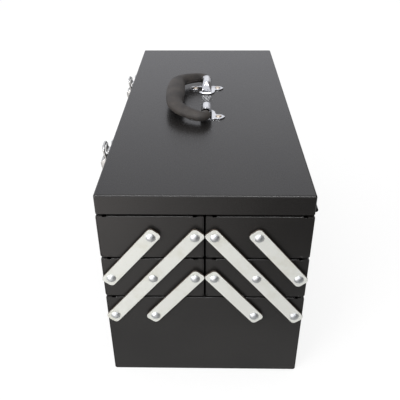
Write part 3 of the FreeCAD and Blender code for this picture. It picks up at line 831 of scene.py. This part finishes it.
def along_table(table, shares):
    """Reads a table of (share, value) at each share and smooths what it finds."""
    values = []
    for share in shares:
        low, high = next(pair for pair in zip(table, table[1:]) if share <= pair[1][0])
        values.append(low[1] + (high[1] - low[1]) * (share - low[0]) / (high[0] - low[0]))
    for _ in range(SMOOTHING):
        values[1:-1] = [(a + b + b + c) / 4 for a, b, c in zip(values, values[1:], values[2:])]
    return values


print("tables are smoothed", SMOOTHING, "times")

# %% [markdown]
# The grip is drawn level and then tipped up a little about the axis of its joint, because in
# the photograph it rests on the lid at a slant.

# %% Grip
HANDLE_LEVEL = joint_spot("handle_fold").z
HANDLE_TILT = 6
GRIP_RING = 48
GRIP_MOUTH = (4.6, 4.6)
GRIP_ACROSS = ((0, 5.2), (0.06, 5.7), (0.15, 6.2), (0.4, 7.1), (0.58, 8.8), (0.78, 11.0), (1, 11.6))
GRIP_UPRIGHT = ((0, 5.2), (0.06, 5.6), (0.2, 6.1), (0.5, 7.0), (0.7, 8.1), (1, 8.6))
GRIP_SAG = ((0, -0.9), (0.35, -0.9), (0.7, -0.1), (1, 0))

for point, sag in zip(line, along_table(GRIP_SAG, shares)):
    point.z = sag
sizes = list(zip(along_table(GRIP_ACROSS, shares), along_table(GRIP_UPRIGHT, shares)))
sizes[0] = sizes[-1] = GRIP_MOUTH
grip = pushed(stations_on(line, sizes, (0, 0, 1)), GRIP_RING)
tip_up = Matrix.Translation((0, 0, HANDLE_LEVEL)) @ turned(HANDLE_TILT, "Y")
bmesh.ops.transform(grip, matrix=tip_up, verts=grip.verts)
piece("rubber_grip", grip, "handle", grip_rubber, ("handle_grip",))

# %% [markdown]
# Handle brackets
#
# Each bracket is pressed from one sheet: a foot with a tab to each side, and a hood that the
# handle's end goes into. The foot is a plate with bent outlines. Its right half is drawn, and
# the left half is the same points in a mirror.

# %% Foot of a bracket
BRACKET_STEEL = 1.3
BRACKET_EDGE = 0.35
TAB_MIDDLE = 7.75
FOOT_RIGHT = (
    ((10.5, 0, 0), 1.5),
    ((10.5, 1.2, 0), 0),
    ((17.5, 1.2, 0), 5),
    ((22.4, TAB_MIDDLE, 0), 2.2),
    ((17.5, 14.3, 0), 5),
    ((11.6, 14.3, 0), 1.4),
    ((10.7, 18, 0), 0),
    ((10.3, 29, 0), 9.6),
)
left = tuple(((-x, y, z), radius) for (x, y, z), radius in reversed(FOOT_RIGHT))
foot_line = rounded(FOOT_RIGHT + left)
print("the foot's outline has", len(foot_line), "points")

# %% [markdown]
# The hood is a row of arches, one behind the other. They stay level over the handle's end, then
# sink to the foot in a quarter circle, and the first ones are flared into a lip. Pushing one
# arch from place to place makes the sheet, and solidify gives it its thickness.

# %% Hood of a bracket
HOOD_HALF = 6.2
HOOD_TOP = 15.0
HOOD_LEVEL = 17.0
HOOD_SLOPE = 9.0
HOOD_SHEET = 1.2
HOOD_SEAM = 0.01
FLARE = ((0, 0.45), (0.6, 0.35), (1.4, 0.12), (2.4, 0))
ARCH_STEPS = 18
SINK_STEPS = 12


def arch(bm, half, crown):
    """The hood seen from its mouth: a foot, an upright side, a half circle and the other side."""
    side = crown - half
    points = [(half, 0), (half, side / 2)]
    for step in range(ARCH_STEPS + 1):
        turn = math.pi * step / ARCH_STEPS
        points.append((half * math.cos(turn), side + half * math.sin(turn)))
    points += [(-half, side / 2), (-half, 0)]
    verts = [bm.verts.new((x, 0, z)) for x, z in points]
    return [bm.edges.new(pair) for pair in zip(verts, verts[1:])]


def hood():
    """The hood as a sheet with its thickness; its mouth is at Y 0."""
    arches = [(y, swell, 1.0) for y, swell in FLARE]
    arches += [(HOOD_LEVEL / 2, 0, 1.0), (HOOD_LEVEL, 0, 1.0)]
    for step in range(1, SINK_STEPS + 1):
        turn = math.radians(90 * step / SINK_STEPS)
        arches.append((HOOD_LEVEL + HOOD_SLOPE * math.sin(turn), 0, math.cos(turn)))
    stations = [
        Matrix.Translation((0, y, 0))
        @ Matrix.Diagonal((1 + swell / HOOD_HALF, 1, (1 + swell / HOOD_TOP) * rise, 1))
        for y, swell, rise in arches
    ]
    bm = bmesh.new()
    pushed_on(bm, arch(bm, HOOD_HALF, HOOD_TOP), stations)
    bmesh.ops.remove_doubles(bm, verts=bm.verts, dist=HOOD_SEAM)
    bmesh.ops.recalc_face_normals(bm, faces=bm.faces)
    if sum(face.normal.z for face in bm.faces) < 0:
        bmesh.ops.reverse_faces(bm, faces=bm.faces)
    bmesh.ops.solidify(bm, geom=bm.faces[:], thickness=HOOD_SHEET)
    return bm


print("the hood is", HOOD_LEVEL + HOOD_SLOPE, "mm long")

# %% Both brackets
BRACKET_START = node_box("rear_handle_bracket")[1].y


def bracket(name, way):
    """One bracket: foot, tabs and hood."""
    bm = plate(foot_line, BRACKET_STEEL, BRACKET_EDGE)
    join(bm, hood())
    start = Matrix.Translation((0, way * BRACKET_START, LID_TOP))
    place = start @ turned(0 if way < 0 else 180, "Z")
    bmesh.ops.transform(bm, matrix=place, verts=bm.verts)
    piece(f"{name}_hood_bracket", bm, "lid", chrome, (f"{name}_handle_bracket",))


bracket("front", -1)
bracket("rear", 1)

# %% [markdown]
# Toggle latches
#
# A latch is thin sheet and one bent wire. Its lever and its catch are strips: a line of the
# outside, given a thickness, seen from the side and made as wide as the real part.

# %% Helper: strips seen from the side
LATCHES = [(word, joint_spot(f"{word}_latch").y) for word in ("front", "rear")]
LATCH_STEEL = 1.2
STRIP_EDGE = 0.25
EAR_EDGE = 0.2


def strip(corners, thickness):
    """A closed line around a bent strip: the corners and a second line to the right of them."""
    outer = rounded(corners)
    inner = []
    for index, spot in enumerate(outer):
        back = outer[max(index - 1, 0)]
        ahead = outer[min(index + 1, len(outer) - 1)]
        way = (ahead - back).normalized()
        inner.append(spot + Vector((way.y, -way.x, 0)) * thickness)
    return outer + inner[::-1]


def side_on(loop, width, edge, out_from, middle, level):
    """A plate drawn as (out, up) from a spot, and as wide as the real part around a middle."""
    bm = plate(loop, width, edge)
    near = middle - width / 2
    place = Matrix(((-1, 0, 0, out_from), (0, 0, 1, near), (0, 1, 0, level), (0, 0, 0, 1)))
    bmesh.ops.transform(bm, matrix=place, verts=bm.verts)
    return bm


print("latches at", [round(middle) for _, middle in LATCHES], "mm along the box")

# %% [markdown]
# The lever is a strip that curls over the pin and ends in a tip to pull on, with a flat ear at
# each side. It is drawn from its pin, which is the axis of the latch's joint, so that it turns
# about the right place.

# %% Levers
PIN = joint_spot("front_latch")
LEVER_WIDTH = 14.0
LEVER_SKIN = (
    ((4.3, 3.5, 0), 0),
    ((7.6, 0.2, 0), 3.0),
    ((7.0, -6, 0), 6),
    ((3.4, -15, 0), 9),
    ((3.0, -26, 0), 8),
    ((6.4, -33, 0), 0),
)
LEVER_EAR = (
    ((-4.7, 4.7, 0), 4.3),
    ((3.0, 4.7, 0), 2.5),
    ((6.4, -0.4, 0), 2),
    ((5.6, -8, 0), 2),
    ((2.4, -16, 0), 2),
    ((-2.2, -14, 0), 3),
    ((-4.6, -9, 0), 2.5),
)
for word, middle in LATCHES:
    skin = strip(LEVER_SKIN, LATCH_STEEL)
    lever = side_on(skin, LEVER_WIDTH, STRIP_EDGE, PIN.x, middle, PIN.z)
    for way in (-1, 1):
        aside = middle + way * (LEVER_WIDTH - LATCH_STEEL) / 2
        ear = side_on(rounded(LEVER_EAR), LATCH_STEEL, EAR_EDGE, PIN.x, aside, PIN.z)
        join(lever, ear)
    node = f"{word}_latch_lever"
    piece(f"{word}_lever", lever, node, latch_metal, (node,))

# %% [markdown]
# The loop is one bent wire: its two ends turn in the lever, and its crossbar hooks over the
# catch. A curve with a bevel could make it as well; the ring that made the grip is at hand and
# keeps the bends as true arcs.

# %% Wire loops
release = joint_spot("front_latch_release")
LOOP_FOOT = Vector((release.x, 0, release.z))
LOOP_TOP = Vector((-109.6, 0, 220.6))
LOOP_RADIUS = 1.3
LOOP_CORNERS = (
    (LOOP_FOOT, 5.8, 0),
    (LOOP_FOOT, 8.7, 1.6),
    (LOOP_TOP, 8.7, 4.2),
    (LOOP_TOP, -8.7, 4.2),
    (LOOP_FOOT, -8.7, 1.6),
    (LOOP_FOOT, -5.8, 0),
)
upright = (LOOP_TOP - LOOP_FOOT).cross(Vector((0, 1, 0))).normalized()
for word, middle in LATCHES:
    corners = [(spot + Vector((0, middle + y, 0)), bend) for spot, y, bend in LOOP_CORNERS]
    bail = wire(corners, LOOP_RADIUS, upright)
    node = f"{word}_latch_loop"
    piece(f"{word}_wire_loop", bail, f"{word}_latch_bail", latch_metal, (node,))

# %% [markdown]
# The catch is a small plate on the lid's skirt with a hook bent up from it. Plate and hook are
# drawn apart, one from the front and one from the side, because each is flat from its own side.

# %% Catches on the lid
SIDE = lid_low.x
CATCH_WIDTH = 12.0
CATCH_PLATE = (
    ((-CATCH_WIDTH / 2, 2.4, 0), 1.5),
    ((CATCH_WIDTH / 2, 2.4, 0), 1.5),
    ((CATCH_WIDTH / 2, 17.5, 0), 3),
    ((-CATCH_WIDTH / 2, 17.5, 0), 3),
)
HOOK = (((0.9, 6.6, 0), 0), ((7.9, 6.6, 0), 2.6), ((7.9, 13.1, 0), 0))
for word, middle in LATCHES:
    catch = plate(rounded(CATCH_PLATE), LATCH_STEEL, EAR_EDGE)
    place = Matrix(((0, 0, -1, SIDE), (-1, 0, 0, middle), (0, 1, 0, LID_EDGE), (0, 0, 0, 1)))
    bmesh.ops.transform(catch, matrix=place, verts=catch.verts)
    hook = strip(HOOK, -LATCH_STEEL)
    join(catch, side_on(hook, CATCH_WIDTH, STRIP_EDGE, SIDE, middle, LID_EDGE))
    piece(f"{word}_catch", catch, "lid", latch_metal, (f"{word}_catch_plate",))

# %% [markdown]
# Small rivets
#
# The brackets are held by two tan rivets each in their tabs, and the latch plates and catches
# by small bright ones. Only their heads show, so they are spun like the pivot rivets, but
# start flat on the sheet and have no shank.

# %% Bracket rivets
TAB_RIVET_OUT = 14.4
TAB_RIVET = ((0, 1.3), (1.4, 1.22), (2.5, 0.95), (3.4, 0.45), (3.7, 0.1), (3.7, 0.0), (0, 0.0))
TAB_RIVET_STEPS = 28
tab_level = LID_TOP + BRACKET_STEEL
tab_along = BRACKET_START - TAB_MIDDLE
places = [
    Matrix.Translation((x, y, tab_level))
    for x in (-TAB_RIVET_OUT, TAB_RIVET_OUT)
    for y in (-tab_along, tab_along)
]
heads = copied(spun(TAB_RIVET, TAB_RIVET_STEPS), places)
piece("bracket_rivets", heads, "lid", brass)

# %% Latch and catch rivets
SIDE_RIVET = ((0, 1.0), (1.1, 0.9), (2.0, 0.6), (2.6, 0.15), (2.6, 0.0), (0, 0.0))
SIDE_RIVET_STEPS = 24
PLATE_RIVET_LEVELS = (171.0, 187.6)
CATCH_RIVET_LEVEL = 222.0


def side_rivets(name, body, levels):
    """Rivets on both latches at some levels; their heads point out of the wall."""
    places = [
        Matrix.Translation((SIDE - LATCH_STEEL, middle, level)) @ turned(-90, "Y")
        for _, middle in LATCHES
        for level in levels
    ]
    heads = copied(spun(SIDE_RIVET, SIDE_RIVET_STEPS), places)
    piece(name, heads, body, rivet_metal)


side_rivets("latch_rivets", "left_top_tray", PLATE_RIVET_LEVELS)
side_rivets("catch_rivets", "lid", (CATCH_RIVET_LEVEL,))
